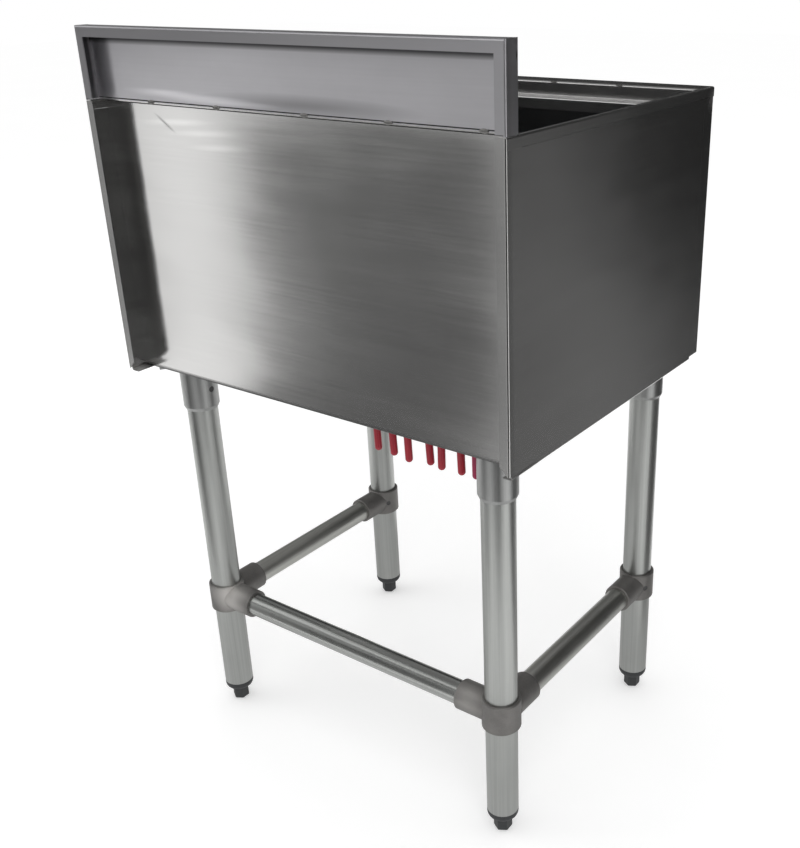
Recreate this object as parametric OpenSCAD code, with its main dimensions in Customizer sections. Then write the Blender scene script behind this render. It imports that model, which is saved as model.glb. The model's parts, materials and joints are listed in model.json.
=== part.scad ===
// Free-standing underbar ice bin: a folded stainless body with a backsplash, an insulated ice
// well over a sealed-in cold plate, and a tubular underframe on four adjustable feet.
// Sizes are in millimetres. The origin is on the floor at the centre of the footprint, +Z is up,
// the user stands on the -Y side and the backsplash is on the +Y side.

/* [Body] */
// Width over the side panels
body_w = 610; // [540:10:760]
// Depth from the front apron to the plane of the rear flanges
body_d = 457; // [430:1:560]
// Height of the top rim above the floor
rim_z = 896; // [840:2:950]
// Height of the body, from the bottom edges of the side panels to the top rim
body_h = 349; // [320:1:420]
// Thickness of the stainless sheet
sheet = 1.2; // [0.9:0.1:1.5]
// Outside radius of the bends in the sheet
bend_r = 2.4; // [2:0.1:3.5]
// Open width of the seams between neighbouring sheets
seam = 0.3; // [0.2:0.1:0.6]

/* [Top rim] */
// Height of the lip that turns down over the sides and the front
lip_h = 12; // [8:1:20]
// Width of the flat along the front edge
rim_front = 38; // [30:1:60]
// Width of the narrow flats along the two sides
rim_side = 6; // [5:0.5:30]
// Width of the flat between the backsplash and the opening
rim_rear = 13; // [8:1:30]
// Depth of the step from the flats down to the cover ledge
ledge_drop = 18; // [8:1:30]
// Width of the ledge that carries sliding covers
ledge_w = 19; // [10:1:30]
// Height of the flange that hangs from the ledge into the well
ledge_flange = 15; // [8:1:30]

/* [Backsplash] */
// Height of the backsplash above the rim
splash_h = 84; // [60:1:150]
// Thickness of the backsplash from front to back
splash_t = 20; // [16:0.5:26]
// Width of the rear flanges of the backsplash and of the side panels
flange_w = 12.5; // [8:0.5:16]
// Gap in the rear flanges at the level of the rim
flange_gap = 1.5; // [1:0.5:4]

/* [Panels] */
// Distance of the rear panel behind the plane of the rear flanges
rear_recess = 29; // [24:1:45]
// Depth of the fold along the bottom of the rear panel
rear_hem = 9; // [6:0.5:9]
// Width that the front apron wraps round each side
apron_wrap = 25; // [15:1:40]
// Height of the apron's bottom edge above the bottom edges of the side panels
apron_lift = 5; // [3:0.5:12]
// Depth of the folds along the bottom of the side panels and of the apron
bottom_hem = 12; // [8:0.5:14]
// Width of the backing tabs behind the welded seams
tab_w = 9; // [6:1:14]

/* [Ice well] */
// Depth of the well from the rim to its floor
well_depth = 304; // [250:2:330]
// Radius of the coved corners of the well
cove_r = 12.7; // [8:0.1:20]
// Least space between the hanging flange and the wall of the well, beyond what its corners need
well_gap = 0.5; // [0.3:0.1:3]
// Width of the flange round the top of the well
well_flange = 12; // [8:1:16]
// Clearance round the foam insulation
foam_gap = 0.3; // [0.2:0.1:1]

/* [Cold plate] */
// Thickness of the cast cold plate
plate_t = 38; // [25:1:60]
// Space between the cold plate and the walls of the well
plate_gap = 19; // [14:1:30]
// Corner radius of the cold plate
plate_r = 20; // [10:1:40]
// Number of shallow melt grooves across the cold plate
groove_count = 9; // [3:1:15]
// Radius of the cutter that makes the melt grooves
groove_r = 10; // [6:1:16]
// Depth of the melt grooves
groove_depth = 2.5; // [1:0.5:4]

/* [Beverage lines] */
// Outside diameter of the beverage lines
line_od = 6.35; // [4.76:0.01:9.5]
// Wall of the beverage lines
line_wall = 0.9; // [0.6:0.1:1.2]
// Distance of the inlet row in front of the rear flange plane
line_row = 85; // [80:1:110]
// Distance between the inlet row and the outlet row
row_pitch = 40; // [24:1:60]
// Width of the rubber seal that the lines pass through, beyond the outer lines
seal_margin = 6; // [5:0.5:12]
// Outside diameter of the protective caps
cap_od = 9.5; // [9.2:0.1:16]
// Length of a protective cap
cap_len = 38; // [25:1:60]
// Depth of the hole in a protective cap
cap_bore = 33; // [18:1:36]
// Clearance between a cap and its line, on the radius
cap_fit = 0.05; // [0.02:0.01:0.1]
// Distance that the lowest cap ends hang below the side panels
line_hang = 63.5; // [50:0.5:90]
// How much higher than the lowest inlet cap the outlet caps end
outlet_rise = 12; // [0:1:20]

/* [Drain] */
// Distance of the drain from the right side of the body
drain_inset = 115; // [100:5:150]
// Distance of the drain in front of the centre
drain_y = 80; // [0:5:100]
// Outside diameter of the drain pipe
drain_od = 33.4; // [26.7:0.1:42]
// Bore of the drain pipe
drain_bore = 26; // [18:0.5:26]
// Diameter of the drain's flange on the floor of the well
drain_flange = 64; // [60:1:70]
// Length of drain pipe below the bottom pan
drain_tail = 38; // [20:1:80]
// Height of the thread relief between the drain's thread and its plain tail
drain_relief = 3; // [2:0.5:5]
// Size of the lock nut across its flats
nut_af = 46; // [44:1:54]
// Thickness of the lock nut
nut_t = 10; // [6:1:16]
// Thickness of the drain gasket
gasket_t = 3; // [2:0.5:5]
// Diameter of the holes in the strainer
strainer_hole = 5; // [3:0.5:6]

/* [Legs] */
// Outside diameter of the leg tubes
leg_od = 41.3; // [38:0.1:48]
// Wall of the leg tubes
leg_wall = 1.5; // [1:0.1:2.5]
// Distance of the leg axes from the sides of the body
leg_inset_x = 59; // [50:1:70]
// Distance of the rear leg axes from the rear flange plane
leg_inset_rear = 64; // [60:1:72]
// Distance of the front leg axes from the front apron
leg_inset_front = 33; // [30:1:60]
// Outside diameter of the sockets under the body
socket_od = 48; // [46:0.5:52]
// Length of the sockets below the side panels
socket_len = 60; // [40:1:90]
// Clearance between a tube and what it fits in, on the radius
tube_fit = 0.05; // [0.02:0.01:0.1]
// Side of the square gusset plates that carry the sockets
gusset_w = 80; // [76:1:84]
// Thickness of the gusset plates
gusset_t = 2.5; // [2:0.5:4]
// Depth of the tapered tab at the outer corner of a gusset
gusset_tab = 12; // [4:1:16]

/* [Feet] */
// Height of the hexagonal part of a foot
foot_h = 20; // [14:1:30]
// Size of a foot across its flats
foot_af = 22; // [19:0.5:26]
// Radius of the flat that a foot stands on
foot_flat_r = 8; // [6:0.5:9]
// Diameter of the stem of a foot
stem_d = 12; // [10:1:16]
// Length of the stem that stays in the insert when the foot is fully out
stem_grip = 20; // [15:1:30]
// Height of the shoulder of the insert below the tube
insert_h = 13; // [10:0.5:18]
// Radius of the rounded shoulder of the insert
insert_r = 9; // [5:0.5:9.5]
// Length of the insert inside the leg
insert_len = 40; // [25:1:60]
// Distance that a foot screws out
foot_travel = 25; // [15:1:30]

/* [Underframe] */
// Height of the stretchers above the floor
stretcher_z = 187; // [120:1:300]
// Outside diameter of the stretchers
stretcher_od = 31.8; // [25:0.1:34]
// Outside diameter of the collar rings on the legs
collar_od = 50; // [48:0.5:56]
// Height of the collar rings
collar_h = 42; // [38:1:60]
// Outside diameter of the collar sockets that hold the stretchers
branch_od = 40; // [37:0.5:42]
// Distance from a leg axis to the mouth of a collar socket
branch_reach = 60; // [50:1:90]
// Distance from a leg axis to the end of a stretcher
stretcher_end = 30; // [28:1:40]
// Diameter of the set screws
screw_d = 8; // [6:1:8]

/* [Hidden] */
LINE_COUNT = 7;
CORNERS = ["rear_left", "rear_right", "front_left", "front_right"];
function named(prefix, names) = [for (name = names) str(prefix, "_", name)];
function counted(prefix) = [for (i = [1 : LINE_COUNT]) str(prefix, "_", i)];
$fn = 16;
SMALL_FN = 13;

side_x = body_w / 2;
front_y = -body_d / 2;
rear_y = body_d / 2;
leg_x = side_x - leg_inset_x;
bottom_z = rim_z - body_h;
splash_top = rim_z + splash_h;
splash_y = rear_y - splash_t;
panel_y = rear_y - rear_recess;
apron_z = bottom_z + apron_lift;
lip_z = rim_z - lip_h;
skin_top = lip_z - seam;
wrap_y = front_y + apron_wrap;

// The opening in the flats, the ledge inside it and the opening inside the ledge
mouth_w = body_w - 2 * rim_side;
mouth_front = front_y + rim_front;
mouth_rear = splash_y - rim_rear;
mouth_d = mouth_rear - mouth_front;
mouth_y = (mouth_front + mouth_rear) / 2;
throat_w = mouth_w - 2 * ledge_w;
throat_d = mouth_d - 2 * ledge_w;
ledge_z = rim_z - ledge_drop;
rim_deep = ledge_drop + ledge_flange;

// The well hangs under the ledge, and its round corners clear the square ones of the flange
corner_room = round(10 * cove_r * (1 - sqrt(1 / 2))) / 10;
well_w = throat_w + 2 * (sheet + corner_room + well_gap);
well_d = throat_d + 2 * (sheet + corner_room + well_gap);
floor_z = rim_z - well_depth;
well_top = ledge_z - sheet;
pan_z = apron_z + sheet;
pan_inset = 3 * sheet;
foam_top = well_top - sheet - foam_gap;

// Distances of the lines from the axes of the left legs, then how far each one was bent by hand
// below the pan, in degrees, and how much higher than the lowest one it ends
line_from_leg = [195, 171, 147, 115, 94.5, 67.5, 45];
line_lean = [1.5, 2.5, 1.5, 3, -1, 1.5, 0];
line_lift = [4, 3, 0, 4.5, 2.5, 3.5, 4];
function line_x(i) = line_from_leg[i] - leg_x;
line_r = line_od / 2;
line_bend_r = 25;
line_neck = 0.15;
line_gap = 1;
line_bend_z = bottom_z + line_gap;
seal_r = 8;
seal_w = line_from_leg[0] - line_from_leg[LINE_COUNT - 1] + 2 * (line_r + seal_margin);
seal_d = row_pitch + 2 * (line_r + seal_margin);
seal_x = (line_x(0) + line_x(LINE_COUNT - 1)) / 2;
seal_y = rear_y - line_row - row_pitch / 2;
cap_wall_end = cap_len - cap_bore;

drain_x = side_x - drain_inset;
drain_r = drain_od / 2;
drain_flange_t = 3;
drain_gap = 0.5;
tool_space = 4;
drain_hole_r = drain_r + drain_gap;
// The nut is reached with a spanner through the pan and the foam
spanner_r = nut_af / sqrt(3) + tool_space;
plate_drain_r = drain_flange / 2 + tool_space;
nut_z = floor_z - sheet - gasket_t - nut_t;
strainer_margin = 8;
strainer_web = 2.6;
strainer_r = drain_flange / 2 - strainer_margin;
strainer_t = 1.5;
strainer_fit = 0.4;
// Gap between a moving piece and its seat, at rest
rest_gap = 0.3;

leg_rear_y = rear_y - leg_inset_rear;
leg_front_y = front_y + leg_inset_front;
leg_r = leg_od / 2;
stem_len = foot_travel + stem_grip;
leg_end_z = foot_h + rest_gap + insert_h;
gusset_z = pan_z - gusset_t;
socket_z = bottom_z - socket_len;
gusset_reach_x = side_x - bottom_hem - seam - leg_x;
gusset_reach_rear = panel_y - rear_hem - seam - leg_rear_y;
gusset_reach_front = leg_front_y - front_y - bottom_hem - seam;
stretcher_r = stretcher_od / 2;
screw_turn = 60;
screw_recess = 0.5;

function corner_x(name) = (name == "rear_left" || name == "front_left") ? -leg_x : leg_x;
function corner_y(name) = (name == "rear_left" || name == "rear_right") ? leg_rear_y : leg_front_y;

// Places a child at the leg of the named corner
module at_corner(name) {
    translate([corner_x(name), corner_y(name), 0]) children();
}

// Distance from the corner of a fold to the start of its bend
function cutback(turn) = turn > 0 ? bend_r : bend_r - sheet;

// A right-angle bend that starts at the origin and turns left (1) or right (-1)
module bend(turn) {
    if (turn > 0) {
        intersection() {
            translate([0, bend_r]) difference() {
                circle(bend_r);
                circle(bend_r - sheet);
            }
            square(bend_r);
        }
    } else {
        inside = bend_r - sheet;
        intersection() {
            translate([0, -inside]) difference() {
                circle(bend_r);
                circle(inside);
            }
            translate([0, -inside]) square(bend_r);
        }
    }
}

// Cross-section of folded sheet. The path starts at the origin along +X, the sheet lies on its
// left, and every fold is a right angle to the left (1) or to the right (-1).
module folded(lengths, turns, i = 0) {
    before = i == 0 ? 0 : cutback(turns[i - 1]);
    after = i == len(turns) ? 0 : cutback(turns[i]);
    translate([before, 0]) square([lengths[i] - before - after, sheet]);
    if (i < len(turns)) {
        translate([lengths[i] - after, 0]) bend(turns[i]);
        translate([lengths[i], 0]) rotate(90 * turns[i]) folded(lengths, turns, i + 1);
    }
}

// Extrudes a section along X, with the section's X along +Y and its Y along +Z
module along_x(length) {
    translate([-length / 2, 0, 0]) rotate([90, 0, 90]) linear_extrude(length) children();
}

// Extrudes a section along Y from y0 to y1, with the section's Y along +Z
module along_y(y0, y1) {
    translate([0, y1, 0]) rotate([90, 0, 0]) linear_extrude(y1 - y0) children();
}

module round_rect(w, d, r) {
    square([w - 2 * r, d], center = true);
    square([w, d - 2 * r], center = true);
    for (x = [-1, 1], y = [-1, 1])
        translate([x * (w / 2 - r), y * (d / 2 - r)]) circle(r);
}

// Section of a wall with a coved foot, outwards from the centre of its cove
module cove_edge(h, r) {
    translate([0, r]) square([r, h - r]);
    intersection() {
        translate([0, r]) circle(r);
        square(r);
    }
}

module cove_section(half, h, r) {
    translate([-half, 0]) square([2 * half, h]);
    for (side = [0, 1])
        mirror([side, 0]) translate([half, 0]) cove_edge(h, r);
}

// A box with round upright edges and a coved bottom, from z = 0 up to its height
module coved_block(w, d, h, r) {
    half_w = w / 2 - r;
    half_d = d / 2 - r;
    along_x(2 * half_w) cove_section(half_d, h, r);
    along_y(-half_d, half_d) cove_section(half_w, h, r);
    for (x = [-half_w, half_w], y = [-half_d, half_d])
        translate([x, y, 0]) rotate_extrude() cove_edge(h, r);
}

module tube(od, wall, length) {
    difference() {
        cylinder(d = od, h = length);
        translate([0, 0, -1]) cylinder(r = od / 2 - wall, h = length + 2);
    }
}

// The space between a level and a wall that falls from it, where the sheet bends over by a radius
module flare(half, level, r) {
    for (side = [0, 1])
        mirror([side, 0]) difference() {
            translate([half, level - r]) square(r);
            translate([half + r, level - r]) circle(r);
        }
}

// Half-open section of the air inside the rim, with the flats at Y = 0: the mouth down to the
// ledge, then the throat. Grown by the sheet's thickness, it takes in the folded sheet as well.
module air_section(mouth, throat, grow) {
    over = bend_r - grow;
    under = bend_r - sheet + grow;
    mouth_half = mouth / 2 + grow;
    throat_half = throat / 2 + grow;
    ledge_y = -ledge_drop - grow;
    flare(mouth_half, -grow, over);
    translate([-mouth_half, ledge_y + under]) square([2 * mouth_half, bend_r - ledge_y - under]);
    translate([under - mouth_half, ledge_y]) square([2 * (mouth_half - under), under]);
    for (x = [-1, 1])
        translate([x * (mouth_half - under), ledge_y + under]) circle(under);
    flare(throat_half, ledge_y, over);
    translate([-throat_half, -2 * rim_deep]) square([2 * throat_half, 2 * rim_deep + ledge_y]);
}

module rim_air(grow) {
    intersection() {
        along_y(front_y, rear_y) air_section(mouth_w, throat_w, grow);
        along_x(body_w) translate([mouth_y, 0]) air_section(mouth_d, throat_d, grow);
    }
}

// Section of the solid under the rim's outer surface, or under the inner one when inset
module lid_section(half, inset) {
    r = bend_r - inset;
    translate([-half, -rim_deep]) square([2 * half, rim_deep - bend_r]);
    translate([r - half, -rim_deep]) square([2 * (half - r), rim_deep - inset]);
    for (x = [-1, 1])
        translate([x * (half - r), -bend_r]) circle(r);
}

module rim_lid(inset) {
    intersection() {
        along_y(front_y, rear_y - sheet) lid_section(side_x - inset, inset);
        along_x(body_w) translate([rear_y, 0]) lid_section(body_d - inset, inset);
    }
}

// One folded sheet: an outer lip on three sides, the flats, the step, the ledge and the flange that
// hangs into the well, with a notch for the backsplash
module top_rim() {
    notch_half = side_x - bend_r - rim_side;
    color("#8b8b8c") translate([0, 0, rim_z]) difference() {
        rim_lid(0);
        rim_air(0);
        difference() {
            union() {
                rim_lid(sheet);
                translate([-side_x - 1, front_y - 1, -rim_deep - 1])
                    cube([body_w + 2, body_d + 2, rim_deep + 1 - lip_h]);
            }
            rim_air(sheet);
        }
        translate([-notch_half, splash_y + sheet, -rim_deep - 1])
            cube([2 * notch_half, splash_t, rim_deep + 2]);
    }
}

// Extrudes a cut through the rear flanges where they meet at the upper right corner of the splash,
// with X to the right and Y up from the inner end of their mitre
module at_splash_mitre() {
    translate([side_x - flange_w, rear_y + bend_r, splash_top - flange_w]) rotate([90, 0, 0])
        linear_extrude(2 * bend_r) children();
}

module backsplash() {
    past = flange_w + 1;
    color("#9a9aa0") difference() {
        translate([0, splash_y, rim_z]) along_x(body_w - 2 * sheet) rotate(90) mirror([0, 1])
            folded([splash_h, splash_t, flange_w], [1, 1]);
        for (side = [0, 1])
            mirror([side, 0, 0]) at_splash_mitre() polygon([[-1, -1], [past, past], [past, -1]]);
    }
}

// The end of the backsplash on the +X side, mitred to its top flange
module splash_end() {
    past = flange_w + 1;
    difference() {
        translate([side_x, splash_y, rim_z]) linear_extrude(splash_h)
            rotate(90) folded([splash_t, flange_w], [1]);
        at_splash_mitre() polygon([[-1, -1], [past, past], [-1, past]]);
        translate([side_x - flange_w - 1, rear_y - 2 * sheet, rim_z - 1])
            cube([flange_w - bend_r + 1, 3 * sheet, flange_gap + 1]);
    }
}

module splash_end_right() {
    color("#77797a") splash_end();
}

module splash_end_left() {
    color("#77797a") mirror([1, 0, 0]) splash_end();
}

// The rear panel's lower corners are notched where the side panels' bottom folds pass
module rear_panel() {
    color("#a4a29e") difference() {
        translate([0, panel_y - rear_hem, bottom_z]) along_x(body_w - 2 * sheet)
            folded([rear_hem, body_h - sheet - seam], [1]);
        for (side = [0, 1])
            mirror([side, 0, 0])
                translate([side_x - bottom_hem - seam, panel_y - rear_hem - 1, bottom_z - 1])
                    cube([bottom_hem + 1, rear_hem + 2, bend_r + 1]);
    }
}

// The side panel on the +X side: skin, rear flange, bottom fold and the tabs behind its seams
module side_panel() {
    skin_h = skin_top - bottom_z;
    front_edge = wrap_y + seam;
    difference() {
        translate([side_x, front_edge, bottom_z]) linear_extrude(rim_z - flange_gap - bottom_z)
            rotate(90) folded([rear_y - front_edge, flange_w], [1]);
        translate([side_x - sheet - 1, front_edge - 1, skin_top])
            cube([sheet + 2, rear_y - sheet - front_edge + 1, lip_h * 2]);
        translate([side_x - bend_r, front_edge - 1, bottom_z - 1])
            cube([bend_r + 1, rear_y - front_edge - 2 * bend_r + 1, bend_r + 1]);
        translate([side_x - flange_w - 1, rear_y - 2 * bend_r, bottom_z - 1])
            cube([flange_w + 2, 2 * bend_r + 1, apron_lift + 1]);
        translate([side_x - flange_w, rear_y - 2 * bend_r, apron_z]) rotate([90, 0, 0])
            mirror([0, 0, 1]) linear_extrude(3 * bend_r) polygon([
                [-1, -1],
                [flange_w - bend_r, -1],
                [flange_w - bend_r, 0],
                [0, flange_w - bend_r],
                [-1, flange_w - bend_r]
            ]);
    }
    along_y(front_edge, rear_y - 2 * bend_r)
        translate([side_x - bottom_hem, bottom_z]) folded([bottom_hem, 2 * bend_r], [1]);
    translate([side_x - 2 * sheet, wrap_y - tab_w, bottom_z + 2 * apron_lift])
        cube([sheet, 2 * tab_w, skin_h - 4 * apron_lift]);
    translate([side_x - 2 * sheet, wrap_y + 2 * tab_w, skin_top - tab_w / 2])
        cube([sheet, panel_y - wrap_y - 3 * tab_w, tab_w]);
}

module side_panel_right() {
    color("#5c5a56") side_panel();
}

module side_panel_left() {
    color("#5c5a56") mirror([1, 0, 0]) side_panel();
}

module front_apron() {
    color("#8e8c89") {
        difference() {
            translate([-side_x, wrap_y, apron_z]) linear_extrude(skin_top - apron_z)
                rotate(-90) folded([apron_wrap, body_w, apron_wrap], [1, 1]);
            translate([bend_r - side_x, front_y - 1, apron_z - 1])
                cube([body_w - 2 * bend_r, 2 * bend_r, bend_r + 1]);
        }
        translate([0, front_y + bottom_hem, apron_z]) along_x(body_w - 2 * bend_r) mirror([1, 0])
            folded([bottom_hem, 2 * bend_r], [1]);
    }
}

// The upright opening that the beverage lines and their seal pass through
module seal_hole(z, h, clearance) {
    translate([seal_x, seal_y, z]) linear_extrude(h)
        round_rect(seal_w + 2 * clearance, seal_d + 2 * clearance, seal_r);
}

module drain_hole(z, h, r) {
    translate([drain_x, -drain_y, z]) cylinder(r = r, h = h);
}

module bottom_pan() {
    skirt = pan_z - bottom_z - sheet;
    half = side_x - pan_inset;
    pan_front = front_y + pan_inset;
    pan_rear = panel_y - sheet - foam_gap;
    color("#85837f") difference() {
        union() {
            along_y(pan_front, pan_rear) translate([-half, bottom_z + sheet]) rotate(90) mirror([0, 1])
                folded([skirt + sheet, 2 * half, skirt + sheet], [1, 1]);
            translate([-half + bend_r, pan_rear - sheet, bottom_z + bend_r])
                cube([2 * (half - bend_r), sheet, skirt + sheet - bend_r + sheet / 2]);
        }
        translate([-side_x, pan_front - 1, bottom_z]) cube([body_w, bottom_hem + 3, skirt + sheet]);
        seal_hole(pan_z - 1, sheet + 2, foam_gap);
        drain_hole(pan_z - 1, sheet + 2, spanner_r);
    }
}

module ice_well() {
    well_h = well_top - floor_z;
    color("#4a4b4d") difference() {
        union() {
            translate([0, mouth_y, floor_z - sheet])
                coved_block(well_w + 2 * sheet, well_d + 2 * sheet, well_h + sheet, cove_r + sheet);
            translate([0, mouth_y, well_top - sheet]) linear_extrude(sheet)
                square([well_w + 2 * well_flange, well_d + 2 * well_flange], center = true);
        }
        translate([0, mouth_y, floor_z]) coved_block(well_w, well_d, well_h + 1, cove_r);
        seal_hole(floor_z - sheet - 1, sheet + 2, foam_gap);
        drain_hole(floor_z - sheet - 1, sheet + 2, drain_hole_r);
    }
}

module foam_insulation() {
    foam_z = pan_z + sheet + foam_gap;
    foam_half = side_x - 2 * sheet - foam_gap;
    foam_front = front_y + sheet + foam_gap;
    foam_rear = panel_y - sheet - foam_gap;
    cavity_w = well_w + 2 * (sheet + foam_gap);
    cavity_d = well_d + 2 * (sheet + foam_gap);
    color("#d9c27a") difference() {
        translate([-foam_half, foam_front, foam_z])
            cube([2 * foam_half, foam_rear - foam_front, foam_top - foam_z]);
        translate([-cavity_w / 2, mouth_y - cavity_d / 2, floor_z - sheet - foam_gap])
            cube([cavity_w, cavity_d, foam_top]);
        seal_hole(foam_z - 1, floor_z - foam_z, foam_gap);
        drain_hole(foam_z - 1, floor_z - foam_z, spanner_r);
    }
}

module cold_plate() {
    w = well_w - 2 * plate_gap;
    d = well_d - 2 * plate_gap;
    step = d / (groove_count + 1);
    edge = 3;
    color("#a5a7a8") difference() {
        union() {
            translate([0, mouth_y, floor_z]) linear_extrude(plate_t - edge) round_rect(w, d, plate_r);
            translate([0, mouth_y, floor_z]) linear_extrude(plate_t)
                round_rect(w - 2 * edge, d - 2 * edge, plate_r - edge);
        }
        for (i = [1 : groove_count])
            translate([0, mouth_y - d / 2 + i * step, floor_z + plate_t - groove_depth + groove_r])
                rotate([0, 90, 0]) cylinder(r = groove_r, h = w + 2, center = true);
        drain_hole(floor_z - 1, plate_t + 2, plate_drain_r);
    }
}

// Only the inlet row, which a hand can reach, is bent. The outlet row hangs straight.
function lean(row, i) = row == 0 ? line_lean[i] : 0;
function lift(row, i) = row == 0 ? line_lift[i] : outlet_rise;

// Length of the straight stretch of a line and its cap below the bend
function straight(row, i) =
    let (a = lean(row, i), drop = line_gap + line_hang - lift(row, i))
    (drop - line_bend_r * sin(abs(a))) / cos(a);

module at_line(row, i) {
    translate([line_x(i), rear_y - line_row - row * row_pitch, line_bend_z]) children();
}

// Places a child at the end of a line's bend, with -Z along the rest of the line
module past_bend(row, i) {
    a = lean(row, i);
    at_line(row, i)
        translate([-sign(a) * line_bend_r * (1 - cos(a)), 0, -line_bend_r * sin(abs(a))])
            rotate([0, a, 0]) children();
}

module line_bend(row, i) {
    a = lean(row, i);
    if (a != 0) {
        at_line(row, i) mirror([a < 0 ? 1 : 0, 0, 0]) translate([-line_bend_r, 0, 0])
            rotate([-90, 0, 0]) rotate_extrude(angle = abs(a))
                translate([line_bend_r, 0]) circle(line_r - line_neck, $fn = SMALL_FN);
    }
}

module beverage_line(row, i) {
    $fn = SMALL_FN;
    length = straight(row, i) - cap_wall_end - line_gap;
    bore_len = length - line_bend_r / 2;
    difference() {
        union() {
            at_line(row, i) translate([0, 0, -line_neck])
                cylinder(r = line_r, h = floor_z - line_bend_z + line_neck);
            line_bend(row, i);
            past_bend(row, i) translate([0, 0, -length]) cylinder(r = line_r, h = length + line_neck);
        }
        past_bend(row, i) translate([0, 0, -length - 1])
            cylinder(r = line_r - line_wall, h = bore_len + 1);
    }
}

module inlet_lines() {
    color("#b9bcbd") for (i = [0 : LINE_COUNT - 1]) beverage_line(0, i);
}

module outlet_lines() {
    color("#b9bcbd") for (i = [0 : LINE_COUNT - 1]) beverage_line(1, i);
}

module line_seal() {
    seal_z = pan_z - sheet;
    color("#3a3a3c") difference() {
        seal_hole(seal_z, floor_z - seal_z, 0);
        for (row = [0, 1], i = [0 : LINE_COUNT - 1])
            translate([line_x(i), rear_y - line_row - row * row_pitch, seal_z - 1])
                cylinder(r = line_r + cap_fit, h = floor_z, $fn = SMALL_FN);
    }
}

// A vinyl cap with a domed end, standing with its dome down at z = 0
module line_cap() {
    $fn = SMALL_FN;
    difference() {
        union() {
            translate([0, 0, cap_od / 2]) cylinder(d = cap_od, h = cap_len - cap_od / 2);
            translate([0, 0, cap_od / 2]) sphere(d = cap_od);
        }
        translate([0, 0, cap_wall_end]) cylinder(r = line_r + cap_fit, h = cap_bore + 1);
    }
}

module inlet_cap(i) {
    color("#b01f30") past_bend(0, i) translate([0, 0, -straight(0, i)]) line_cap();
}

module outlet_cap(i) {
    color("#b01f30") past_bend(1, i) translate([0, 0, -straight(1, i)]) line_cap();
}

module drain_fitting() {
    flange_top = floor_z + drain_flange_t;
    tail_z = pan_z - drain_tail;
    seat_r = strainer_r + strainer_fit;
    relief_z = pan_z - drain_gap - drain_relief;
    color("#c0c2c3") translate([drain_x, -drain_y, 0]) difference() {
        union() {
            translate([0, 0, floor_z]) cylinder(d = drain_flange, h = drain_flange_t - 1);
            translate([0, 0, flange_top - 1]) cylinder(d1 = drain_flange, d2 = drain_flange - 4, h = 1);
            translate([0, 0, tail_z]) cylinder(r = drain_r, h = floor_z - tail_z);
        }
        translate([0, 0, tail_z - 1]) cylinder(d = drain_bore, h = flange_top - tail_z + 2);
        translate([0, 0, flange_top - strainer_t]) cylinder(r = seat_r, h = strainer_t + 1);
        translate([0, 0, relief_z]) difference() {
            cylinder(r = drain_r + 1, h = drain_relief);
            translate([0, 0, -1]) cylinder(r = drain_r - drain_gap, h = drain_relief + 2);
        }
    }
}

module drain_gasket() {
    color("#2e2e30") translate([drain_x, -drain_y, floor_z - sheet - gasket_t]) difference() {
        cylinder(d = nut_af + 6, h = gasket_t);
        translate([0, 0, -1]) cylinder(r = drain_r + tube_fit, h = gasket_t + 2);
    }
}

module drain_locknut() {
    color("#b08d57") translate([drain_x, -drain_y, nut_z]) difference() {
        cylinder(d = nut_af / cos(30), h = nut_t, $fn = 6);
        translate([0, 0, -1]) cylinder(r = drain_r + tube_fit, h = nut_t + 2);
    }
}

// A perforated disc whose skirt drops into the drain pipe
module drain_strainer() {
    disc_z = floor_z + drain_flange_t - strainer_t + rest_gap;
    skirt_r = drain_bore / 2 - strainer_fit;
    skirt_wall = 1.2;
    skirt_h = 8;
    hole_pitch = strainer_hole + strainer_web;
    rings = floor((skirt_r - skirt_wall - strainer_hole / 2) / hole_pitch);
    color("#d0d2d3") translate([drain_x, -drain_y, disc_z]) difference() {
        union() {
            cylinder(r = strainer_r, h = strainer_t);
            translate([0, 0, -skirt_h]) tube(2 * skirt_r, skirt_wall, skirt_h + strainer_t / 2);
        }
        translate([0, 0, -1]) cylinder(d = strainer_hole, h = strainer_t + 2, $fn = SMALL_FN);
        for (ring = [1 : rings], k = [0 : 6 * ring - 1])
            rotate(k * 60 / ring) translate([ring * hole_pitch, 0, -1])
                cylinder(d = strainer_hole, h = strainer_t + 2, $fn = SMALL_FN);
    }
}

// A corner plate with a welded leg socket. The plate's outer corner lies at +X and +Y of the leg.
module gusset_body(reach_x, reach_y) {
    chamfer = 5;
    difference() {
        union() {
            translate([0, 0, gusset_z]) linear_extrude(gusset_t) polygon([
                [reach_x, reach_y],
                [reach_x - gusset_w, reach_y],
                [reach_x - gusset_w, reach_y - gusset_w / 2],
                [reach_x - gusset_w / 2, reach_y - gusset_w],
                [reach_x, reach_y - gusset_w]
            ]);
            translate([0, 0, socket_z + chamfer])
                cylinder(d = socket_od, h = gusset_z - socket_z - chamfer);
            translate([0, 0, socket_z]) cylinder(r1 = leg_r + 1, d2 = socket_od, h = chamfer);
            translate([reach_x, reach_y, gusset_z]) rotate([90, 0, 0]) linear_extrude(gusset_t)
                polygon([[0, 0], [0, -gusset_tab], [-gusset_w / 2, 0]]);
        }
        translate([0, 0, socket_z - 1]) cylinder(r = leg_r + tube_fit, h = gusset_z - socket_z + 1);
        translate([-leg_r, 0, socket_z + socket_len / 2]) rotate([0, -90, 0])
            cylinder(d = screw_d + 2 * tube_fit, h = socket_od, center = true, $fn = SMALL_FN);
    }
}

function is_left(name) = corner_x(name) < 0;
function is_front(name) = corner_y(name) < 0;

module leg_gusset(name) {
    color("#8f9091") at_corner(name)
        mirror([is_left(name) ? 1 : 0, 0, 0]) mirror([0, is_front(name) ? 1 : 0, 0])
            gusset_body(gusset_reach_x, is_front(name) ? gusset_reach_front : gusset_reach_rear);
}

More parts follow.
